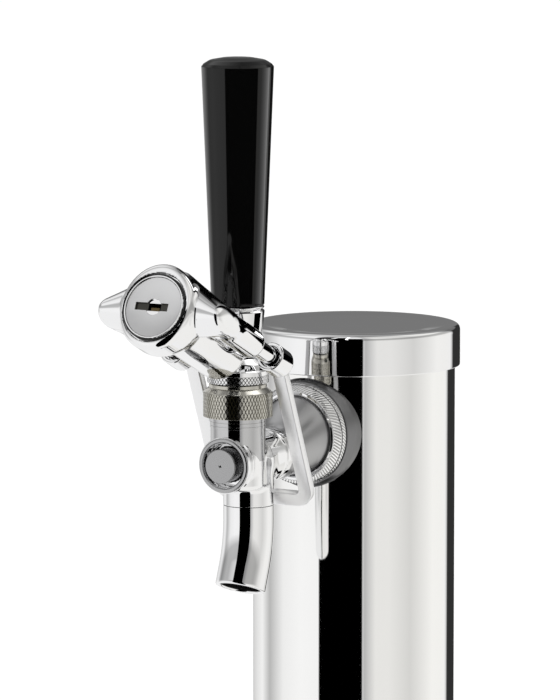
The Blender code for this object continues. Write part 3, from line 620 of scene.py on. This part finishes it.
def faucet():
    """The casting, the turned rings of its boss and the end of the valve shaft in them."""

    def material_of(x, y, z):
        # The neck gets material 1, a darker copy of the chrome: painted shade between the barrel and the shank.
        neck = (-y < 65.5) & (-y > 46.3)
        # The upright under the bonnet gets material 2, a darker copy of the chrome: painted shade under the
        # bonnet.
        upright = (np.hypot(x, -y - UPRIGHT_FORWARD) < 10.2) & (z > 315.0) & (-y > 76.0)
        return np.where(neck, 1, np.where(upright, 2, 0))

    casting("faucet_casting", body_field, (-17.0, -100.5, 296.5), (17.0, -44.5, 335.5), 0.45, TOWER,
            (CHROME, NECK_SHADE, UPRIGHT_SHADE), "tower_body", ["faucet_body"], material_of)
    lathe("boss_ring", [(8.2, 93.5), (9.6, 93.5, 0.2), (9.8, 94.6, 0.3), (10.4, 95.2, 0.4),
                        (10.35, 96.2, 0.4), (9.75, 96.7, 0.3), (9.8, 97.3, 0.3), (10.3, 97.7, 0.3),
                        (10.3, 99.6, 0.3), (9.8, 99.6, 0.1), (8.2, 99.6, 0.1), (8.2, 93.5)], VALVE, CHROME,
          "tower_body", fillet=0.2)
    lathe("boss_front", [(8.3, 99.2), (10.0, 99.2), (10.05, 99.8, 0.3), (9.5, 100.0, 0.2),
                         (8.7, 100.0, 0.2), (8.3, 99.7, 0.1), (8.3, 99.2)], VALVE, BOSS_SATIN,
          "tower_body", fillet=0.1)
    lathe("shaft_face", [(0, 90.0), (6.18, 90.0), (6.18, 102.15, 0.35), (0.6, 102.15, 0.1), (0.6, 101.9),
                         (0, 101.9)], VALVE, FACE, "valve_body", fillet=0.1)
    # A near-black disc in the small hole at the middle of the shaft's face: painted shade in the hole.
    lathe("shaft_centre_shade", [(0, 101.8), (0.55, 101.8), (0.55, 102.0), (0, 102.0)], VALVE, SHADE_BLACK,
          "valve_body", fillet=0.05, sides=32)


def bonnet():
    """The knurled bonnet with the ball's seat in it, and the grooved top of the upright below it."""
    seat_r = 8.3
    seat = [(sqrt(seat_r ** 2 - h * h), h) for h in (4.3, 3.1, 1.8, 0.5)]
    outside = [(10.3, -3.7), (12.1, -3.7, 0.2), (12.1, 5.1), (12.6, 5.25, 0.15), (12.4, 5.6, 0.2),
               (10.85, 7.0, 0.2), (10.5, 7.15, 0.15), (10.5, 8.4, 0.2), (10.1, 8.45, 0.15), (8.2, 7.4, 0.3)]
    lathe("bonnet_ring", outside + seat + [(10.3, 0.1), (10.3, -3.7)], LEVER, NICKEL,
          "tower_body", ["bonnet_nut"], fillet=0.15)
    # The knurl's grooves are painted in shade with a darker copy of the nickel.
    diamonds("bonnet_knurl", 12.6, -3.5, 5.2, 64, 6, 0.30, LEVER, (NICKEL, NICKEL_GROOVE_SHADE),
             "tower_body")
    rings = [(9.6, -7.6), (10.15, -7.6, 0.1)]
    for groove in (-6.5, -5.1):
        rings += [(10.15, groove - 0.2, 0.05), (9.9, groove - 0.1, 0.05), (9.9, groove + 0.1, 0.05),
                  (10.15, groove + 0.2, 0.05)]
    # The upright's grooved top is in a darker copy of the chrome: painted shade under the bonnet.
    lathe("upright_rings", rings + [(10.15, -3.75), (9.6, -3.75), (9.6, -7.6)], LEVER, UPRIGHT_SHADE,
          "tower_body", fillet=0.1)


def lever():
    """The ball with its finger and stud, the knurled collar round it, the ferrule and the handle."""
    finger_r, tip_r, tip_z, stud_r, bolt_r = 1.4, 2.2, -16.5, 2.8, 4.7
    ball_start = -acos(finger_r / BALL_R)
    ball_stop = acos(stud_r / BALL_R)
    ball = [(BALL_R * cos(a), BALL_R * sin(a)) for a in
            (ball_start + (ball_stop - ball_start) * i / 24 for i in range(25))]
    tip = [(tip_r * cos(radians(a)), tip_z + tip_r * sin(radians(a))) for a in range(-80, 51, 13)]
    stud = [(stud_r, 10.2), (bolt_r, 12.4), (bolt_r, 30.0), (0, 30.0)]
    lathe("lever_ball", [(0, -18.7)] + tip + ball + stud, LEVER, CHROME, "lever_body", ["lever"],
          fillet=0.2, sides=64)
    hollow, bottom, bore = 13.9, 8.9, 5.0
    first, last = asin(bottom / hollow), acos(bore / hollow)
    under = [(hollow * cos(a), hollow * sin(a)) for a in (last + (first - last) * i / 8 for i in range(9))]
    edge = sqrt(hollow ** 2 - bottom ** 2)
    outside = [(edge, bottom), (10.9, bottom, 0.1), (10.9, 11.6), (11.15, 11.8, 0.2), (11.15, 13.4, 0.2),
               (10.7, 13.8, 0.2), (9.8, 16.0, 1.5), (7.8, 18.0, 0.6), (bore, 18.2)]
    lathe("collar_ring", outside + under[:-1] + [(edge, bottom)], LEVER, CHROME,
          "lever_body", ["lever_collar"], fillet=0.1)
    # The knurl's grooves are painted in shade with a darker copy of the chrome.
    diamonds("collar_knurl", 11.2, 8.95, 11.7, 54, 3, 0.25, LEVER, (KNURL, KNURL_GROOVE_SHADE),
             "lever_body")
    lathe("ferrule", [(0, 18.5), (7.8, 18.5, 0.4), (9.72, 34.8, 0.4), (9.45, 35.3, 0.2), (9.0, 35.5, 0.15),
                      (9.0, 35.9, 0.15), (9.5, 36.1, 0.2), (9.62, 36.5, 0.2), (9.3, 36.8, 0.2), (0, 36.8)],
          LEVER, CHROME, "lever_body", ["handle_ferrule"], fillet=0.2)
    lathe("handle", [(0, 37.0), (9.3, 37.0), (9.62, 37.4, 0.3), (13.1, 123.2, 0.3), (12.3, 124.2, 0.5),
                     (10.0, 125.6, 4.0), (5.5, 126.4, 6.0), (0, 126.7)], LEVER, BLACK,
          "lever_body", ["tap_handle"], fillet=0.3)


# ---------------------------------------------------------------- faucet lock
def wing_field(along, y, z):
    """A wing that tapers outwards from above, flatter below, with an even depth."""
    end, back, half_depth = 25.5, 11.5, 8.7
    top = np.minimum(19.2 - 0.61 * along, 16.0)
    under = 7.6 - 0.1 * along
    middle, half = (top - under) / 2, (top + under) / 2
    across = np.hypot((y - middle) / half, (z + back) / half_depth)
    return 0.8 * carve((across - 1) * np.minimum(half, half_depth), end - along, 3.0)


def lock_field(x, y, z):
    """The lock's housing: a barrel that narrows behind its oval lip, two wings and two arms for the posts."""
    ease = np.clip((-9.0 - z) / 12.0, 0, 1)
    ease = ease * ease * (3 - 2 * ease)
    oval = 1 - ease
    wide = x * (1 + 0.05 * oval)
    tall = y * np.where(y > 0, 1 - 0.08 * oval, 1.0)
    tube = 0.86 * (np.hypot(wide, tall) - (15.3 - 5.2 * ease))
    barrel = carve(carve(tube, -z, 3.2), z + 54.0, 2.4)
    wings = wing_field(np.abs(x), y, z)
    arms = tube_field(np.abs(x) - POST_X, y, z, 5.35, -41.2, -12.0, 4.6)
    body = blend_in(barrel, wings, 1.2)
    body = blend_in(body, arms, 1.6)
    face = tube_field(x, y, z, 12.7, -2.3, 4.0)
    pocket = tube_field(x, y, z, 8.3, -15.8, 4.0)
    posts = tube_field(np.abs(x) - POST_X, y, z, 3.55, -50.0, -9.7)
    channel = np.maximum(np.abs(x) - 21.0, np.maximum(np.abs(y) - 2.3, np.abs(z + 13.5) - 1.3))
    forward = LOCK_FORWARD + z * sin(LOCK_TILT) - y * cos(LOCK_TILT)
    lever_gap = np.hypot(x, forward - UPRIGHT_FORWARD) - 10.8
    hollow = np.minimum.reduce([face, pocket, posts, channel, lever_gap])
    return np.maximum(body, -hollow)


def keyhole(turn, left, right, half_high, radius):
    """Distance from the centre to the outline of a slot joined to a circle, in direction turn."""
    reach = right if cos(turn) > 0 else left
    return max(radius, min(reach / max(abs(cos(turn)), 1e-6), half_high / max(abs(sin(turn)), 1e-6)))


def lock_plug():
    """The round face with its keyhole: a shallow slot, a bright recess at its middle and the keyway. The slot and
    the keyway are painted near-black as shade, and the brass shutter in the keyway is darkened as shade too.
    """
    left, right, high, well, deep = 7.4, 5.7, 1.4, 3.0, 2.5
    corners = [atan2(high, left), atan2(high, right), asin(high / well), asin(high / deep)]
    at_corners = {round(sign * c + base, 9) % (2 * pi)
                  for c in corners for sign in (1, -1) for base in (0, pi)}
    turns = sorted(at_corners | {2 * pi * k / 96 for k in range(96)})
    count = len(turns)
    slot = [keyhole(t, left, right, high, 0) for t in turns]
    hole = [keyhole(t, left, right, high, well) for t in turns]
    inner = [keyhole(t, deep, deep, high, 0) for t in turns]
    shelf = [min(h, max(s, i)) for h, s, i in zip(hole, slot, inner)]
    # Each ring: its radii, its height, and the material of the faces between it and the ring before.
    rings = [([11.0] * count, -1.3, 0), ([11.0] * count, -0.25, 0), ([10.92] * count, -0.07, 0),
             ([10.7] * count, 0.0, 0), ([r + 0.12 for r in hole], 0.0, 0), (hole, -0.12, 0), (hole, -0.7, 1),
             (shelf, -0.7, 1), (slot, -1.0, 2), (inner, -1.0, 2), (inner, -6.5, 3),
             ([0.01] * count, -6.5, 3)]
    points, faces, kinds = [], [], []
    for radii, z, _ in rings:
        points += [(r * cos(t), r * sin(t), z) for r, t in zip(radii, turns)]
    for i in range(1, len(rings)):
        for k in range(count):
            j = (k + 1) % count
            faces.append((i * count - count + k, i * count - count + j, i * count + j, i * count + k))
            kinds.append(rings[i][2])
    # The last two materials paint shade in the slot and down the keyway.
    made = placed("lock_face", points, faces, LOCK, (LOCK_SATIN, CHROME, SLOT_SHADE, SHADE_BLACK),
                  "key_body", ["lock_plug"])
    for polygon, kind in zip(made.data.polygons, kinds):
        polygon.material_index = kind
    made.data.set_sharp_from_angle(angle=radians(30))
    # The shutter deep in the keyway is in darkened brass: painted shade.
    box = [(x, y, z) for x in (-1.7, 1.7) for y in (-1.25, 0.1) for z in (-3.4, -1.6)]
    sides = [(0, 1, 3, 2), (4, 6, 7, 5), (0, 4, 5, 1), (2, 3, 7, 6), (0, 2, 6, 4), (1, 5, 7, 3)]
    placed("shutter", box, sides, LOCK, SHADED_BRASS, "key_body", ["key_shutter"], smooth=False)


def lock():
    """The housing, the bezel in its face, a near-black ring of painted shade in the groove round the bezel, and
    the plug.
    """
    casting("lock_casting", lock_field, (-28.0, -17.5, -55.5), (28.0, 17.5, 1.5), 0.5, LOCK, CHROME,
            "lock_body", ["lock_housing"])
    lathe("lock_bezel", [(8.0, -11.0), (8.0, -2.3), (12.65, -2.3), (12.65, -2.0), (11.75, -2.0),
                         (11.75, -0.2), (11.55, 0.35, 0.12), (11.2, 0.35, 0.1), (11.1, 0.1), (11.1, -1.6),
                         (5.8, -1.6), (5.8, -11.0), (8.0, -11.0)], LOCK, CHROME, "lock_body",
          ["lock_cylinder"], fillet=0.05)
    # A near-black ring that paints the shade in the groove round the bezel.
    lathe("lock_groove_shade", [(11.76, -2.05), (12.25, -2.05), (12.25, -0.4, 0.15), (11.76, -0.15)], LOCK, SHADE_BLACK,
          "lock_body", fillet=0.05)
    lock_plug()


def strap():
    """The flat U, swept with softened edges: u runs across, v up the lean, and w through the plate."""
    half, thick, soft = 2.65, 1.55, 0.45
    outer_corner, outer_side, top, step = 7.5, 20.6, 57.0, 1.5
    corner, middle = outer_corner - half, outer_side - half
    path = [(middle, top - step * i, 0.0) for i in range(int((top - outer_corner) / step))]
    path += [(middle - corner + corner * cos(a), outer_corner - corner * sin(a), a)
             for a in (pi / 2 * i / 16 for i in range(17))]
    path += [(-u, v, pi - a) for u, v, a in path[::-1]]
    outline = []
    for cu, cw, start in ((half, thick, 0), (-half, thick, 90), (-half, -thick, 180), (half, -thick, 270)):
        for k in range(6):
            a = radians(start + 18 * k)
            outline.append((cu - soft * (1 if cu > 0 else -1) + soft * cos(a),
                            cw - soft * (1 if cw > 0 else -1) + soft * sin(a)))
    count = len(outline)
    points, faces = [], []
    for u, v, a in path:
        for across, through in outline:
            points.append((u + across * cos(a), through, v - across * sin(a)))
    for i in range(len(path) - 1):
        for k in range(count):
            j = (k + 1) % count
            faces.append((i * count + k, (i + 1) * count + k, (i + 1) * count + j, i * count + j))
    faces.append(tuple(range(count)))
    faces.append(tuple(range(len(points) - 1, len(points) - 1 - count, -1)))
    made = placed("strap", points, faces, STRAP, BRUSHED, "tower_body", ["shackle_strap"])
    made.data.set_sharp_from_angle(angle=radians(60))


def shackle():
    """The two posts that the lock sits on, their eyes, and the strap that joins them."""
    for side, x in (("left", -POST_X), ("right", POST_X)):
        here = moved(LOCK, x)
        lathe(f"post_{side}", [(0, -56.7), (3.2, -56.7), (3.2, -15.5, 0.2), (1.9, -15.1), (1.9, -11.9),
                               (3.2, -11.5), (3.2, -10.5, 0.4), (0, -10.5)], here, CHROME,
              "tower_body", [f"shackle_post_{side}"], fillet=0.15, sides=64)
        lathe(f"eye_{side}", [(0, -64.0), (3.4, -64.0, 1.0), (5.35, -61.2, 1.5), (5.35, -52.5, 0.7),
                              (3.9, -52.5, 0.4), (3.9, -57.0), (0, -57.0)], here, CHROME,
              "tower_body", [f"shackle_eye_{side}"], fillet=0.2, sides=80)
    strap()


column()
base()
shank()
spout()
faucet()
bonnet()
lever()
lock()
shackle()

# Hidden pieces stay the CAD's own meshes, in the finish that the record gives them.
for name, obj in nodes.items():
    obj.data.materials.clear()
    obj.data.materials.append(CAD_FINISH[SLOT_OF[name]])


# ---------------------------------------------------------------- studio
def maths(tree, operation, *values):
    """One step of arithmetic."""
    return node(tree, "ShaderNodeMath", dict(enumerate(values)), operation=operation).outputs[0]


def between(tree, value, low, high, soft):
    """1 where value, in degrees, is between low and high, with soft edges."""
    up = node(tree, "ShaderNodeMapRange", {"Value": value, "From Min": low - soft, "From Max": low + soft},
              interpolation_type="SMOOTHSTEP").outputs["Result"]
    down = node(tree, "ShaderNodeMapRange", {"Value": value, "From Min": high - soft, "From Max": high + soft,
                                             "To Min": 1.0, "To Max": 0.0},
                interpolation_type="SMOOTHSTEP").outputs["Result"]
    return maths(tree, "MULTIPLY", up, down)


def ladder(tree, value, low, high, stops):
    """A colour ramp over low to high, from (place, level) pairs."""
    share = node(tree, "ShaderNodeMapRange", {"Value": value, "From Min": low, "From Max": high})
    ramp = node(tree, "ShaderNodeValToRGB", {"Fac": share.outputs["Result"]})
    steps = ramp.color_ramp.elements
    while len(steps) < len(stops):
        steps.new(0.5)
    for step, (spot, level) in zip(steps, stops):
        step.position = (spot - low) / (high - low)
        step.color = (level, level, level, 1)
    return ramp.outputs["Color"]


def studio_world():
    """White panels all round with a tall black flag in front, a dim gap above the horizon and dark behind."""
    made = bpy.data.worlds.new("studio")
    bpy.context.scene.world = made
    made.use_nodes = True
    tree = made.node_tree
    tree.nodes.clear()
    way = node(tree, "ShaderNodeTexCoord").outputs["Generated"]
    split = node(tree, "ShaderNodeSeparateXYZ", {"Vector": way})
    x, y, z = split.outputs
    degrees = 180 / pi
    front = maths(tree, "MULTIPLY", maths(tree, "ARCTAN2", x, maths(tree, "MULTIPLY", y, -1.0)), degrees)
    back = maths(tree, "MULTIPLY", maths(tree, "ARCTAN2", x, y), degrees)
    rise = maths(tree, "MULTIPLY", maths(tree, "ARCSINE", z), degrees)
    around = ladder(tree, front, -180, 180, (
        (-180, 0.3), (-160, 0.35), (-135, 0.66), (-101, 0.93), (-84, 0.50), (-74, 0.66), (-60, 0.90),
        (-35, 0.97), (37, 0.90), (40, 0.48), (53, 0.84), (69, 0.84), (96, 0.70), (130, 0.95),
        (157, 0.93), (165, 0.30)))
    height = ladder(tree, rise, -90, 90, (
        (-90, 1.0), (2, 1.0), (12, 0.55), (26, 0.5), (36, 1.0), (60, 0.95), (80, 0.55), (90, 0.5)))
    panels = mixed(tree, 1.0, around, height, blend_type="MULTIPLY")
    low = node(tree, "ShaderNodeMapRange", {"Value": rise, "From Min": -14.0, "From Max": -26.0})
    panels = mixed(tree, low.outputs["Result"], panels, (0.93, 0.93, 0.93, 1))
    warm = between(tree, front, 45, 155, 10)
    panels = mixed(tree, warm, panels, mixed(tree, 1.0, panels, (1.0, 0.993, 0.97, 1), blend_type="MULTIPLY"))
    grey = maths(tree, "MULTIPLY", between(tree, back, -62, -8, 8), between(tree, rise, 1, 26, 4))
    panels = mixed(tree, grey, panels, (0.19, 0.19, 0.19, 1))
    dark = maths(tree, "MULTIPLY", between(tree, back, -20, 17, 2), between(tree, rise, -13, 15, 2))
    panels = mixed(tree, dark, panels, (0.03, 0.03, 0.03, 1))
    flag = maths(tree, "MULTIPLY", between(tree, front, -12, 38, 0.7), between(tree, rise, -72, 36, 1.5))
    panels = mixed(tree, flag, panels, (0.0, 0.0, 0.0, 1))
    rays = node(tree, "ShaderNodeLightPath")
    panels = mixed(tree, rays.outputs["Is Camera Ray"], panels, (1.0, 1.0, 1.0, 1))
    panels = mixed(tree, rays.outputs["Is Diffuse Ray"], panels, (1.2, 1.2, 1.2, 1))
    light = node(tree, "ShaderNodeBackground", {"Color": panels, "Strength": 1.0})
    node(tree, "ShaderNodeOutputWorld", {"Surface": light.outputs["Background"]})


def card(name, first, last, low, high, distance, near, far):
    """A card bent round the handle that only reflections see: azimuths first to last, in degrees."""
    steps = 12
    points, faces, levels = [], [], []
    for i in range(steps + 1):
        a = radians(first + (last - first) * i / steps)
        for z in (low, high):
            points.append((distance * sin(a), PIVOT.y - distance * cos(a), z))
            levels.append(near + (far - near) * i / steps)
    for i in range(steps):
        faces.append((2 * i, 2 * i + 2, 2 * i + 3, 2 * i + 1))
    mesh = bpy.data.meshes.new(name)
    mesh.from_pydata(points, [], faces)
    layer = mesh.color_attributes.new("level", "FLOAT_COLOR", "POINT")
    for spot, level in zip(layer.data, levels):
        spot.color = (level, level, level, 1)
    made = bpy.data.objects.new(name, mesh)
    bpy.context.scene.collection.objects.link(made)
    finish = bpy.data.materials.new(name)
    finish.use_nodes = True
    tree = finish.node_tree
    tree.nodes.clear()
    shade = node(tree, "ShaderNodeVertexColor", layer_name="level")
    glow = node(tree, "ShaderNodeEmission", {"Color": shade.outputs["Color"]})
    node(tree, "ShaderNodeOutputMaterial", {"Surface": glow.outputs["Emission"]})
    mesh.materials.append(finish)
    made.visible_camera = made.visible_diffuse = made.visible_shadow = made.visible_transmission = False


def floor():
    """A plain pale floor that reflections leave out."""
    mesh = bpy.data.meshes.new("floor")
    size = 15.0
    corners = [(-size, -size, 0), (size, -size, 0), (size, size, 0), (-size, size, 0)]
    mesh.from_pydata(corners, [], [(0, 1, 2, 3)])
    made = bpy.data.objects.new("floor", mesh)
    bpy.context.scene.collection.objects.link(made)
    mesh.materials.append(plastic("pale_floor", (0.93, 0.93, 0.93), 0.9, 0.0, 3.0, 0.005))
    made.visible_glossy = False


def camera():
    """29 degrees to the right of the front and a little above, with a long lens."""
    turn, dip, distance = radians(29), radians(7.2), 1.917
    aside, raised = -0.02792, 0.00509
    right = Vector((cos(turn), sin(turn), 0))
    up = Vector((-sin(turn) * sin(dip), cos(turn) * sin(dip), cos(dip)))
    back = Vector((sin(turn) * cos(dip), -cos(turn) * cos(dip), sin(dip)))
    aim = Vector((0, COLUMN_Y, 0.340))
    spot = aim + aside * right + raised * up + distance * back
    data = bpy.data.cameras.new("camera")
    data.sensor_fit = "VERTICAL"
    data.sensor_height = 36.0
    data.lens = 261.3
    made = bpy.data.objects.new("camera", data)
    made.matrix_world = Matrix((right, up, back)).transposed().to_4x4()
    made.location = spot
    bpy.context.scene.collection.objects.link(made)
    bpy.context.scene.camera = made


studio_world()
card("handle_flag", 36, 86, 0.3675, 0.465, 0.035, 0.0, 0.0)
card("handle_strip", 96, 134, 0.3675, 0.465, 0.035, 0.7, 2.8)
card("arm_flag", 101, 140, 0.346, 0.366, 0.05, 0.0, 0.0)
floor()
camera()
bpy.context.scene.view_settings.view_transform = "Standard"
